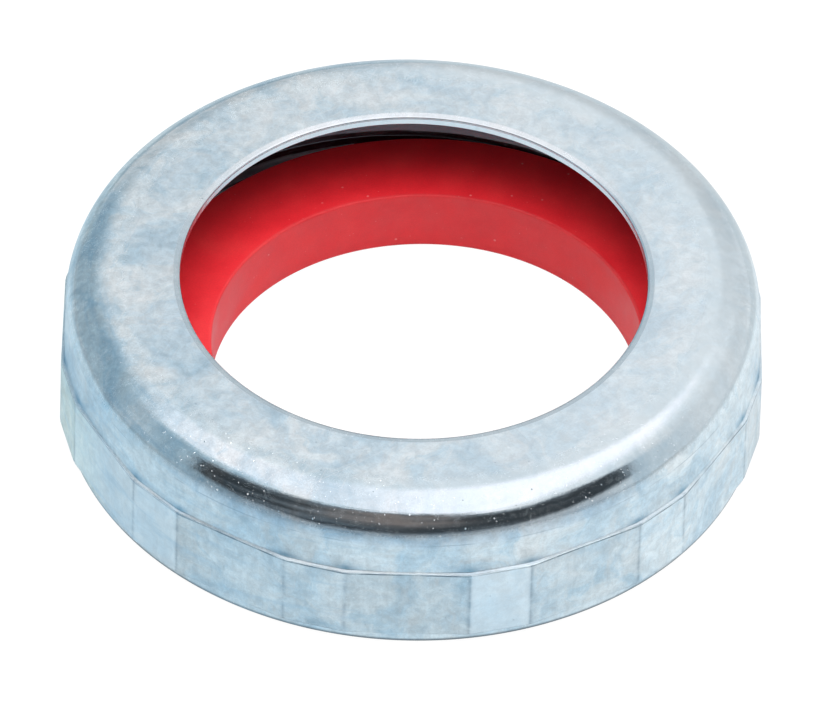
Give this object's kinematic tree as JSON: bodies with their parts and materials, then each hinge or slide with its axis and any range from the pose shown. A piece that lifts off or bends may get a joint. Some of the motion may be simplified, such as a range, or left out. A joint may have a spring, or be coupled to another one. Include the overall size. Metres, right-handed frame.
{
  "type": "slip-joint reducing nut with washer",
  "caption": "Shallow pressed-steel slip-joint nut with a faceted grip skirt, a large round tube hole in its crown and a loose square-cut rubber sealing washer inside.",
  "frame": {"origin": "on the nut's axis, in the plane of its open mouth, which is the plane it stands on", "axes": "+Z along the nut's axis, out of the crown; -Y towards the middle of a wide flat (turned 0.5 degrees); the washer lies off the axis towards +X and +Y"},
  "size_m": [0.0516, 0.0516, 0.0123],
  "materials": {
    "zinc_plated_steel": "clear zinc plating over pressed steel, softly mottled, semi-bright",
    "red_rubber": "smooth satin moulded rubber"
  },
  "bodies": {
    "nut": {"slip_nut": "zinc_plated_steel"},
    "washer": {"sealing_washer": "red_rubber"}
  },
  "joints": [
    {"name": "washer_slide", "type": "slide", "parent": "nut", "child": "washer", "axis": [0, 0, 1], "range_m": [-0.012, 0.00595]}
  ]
}
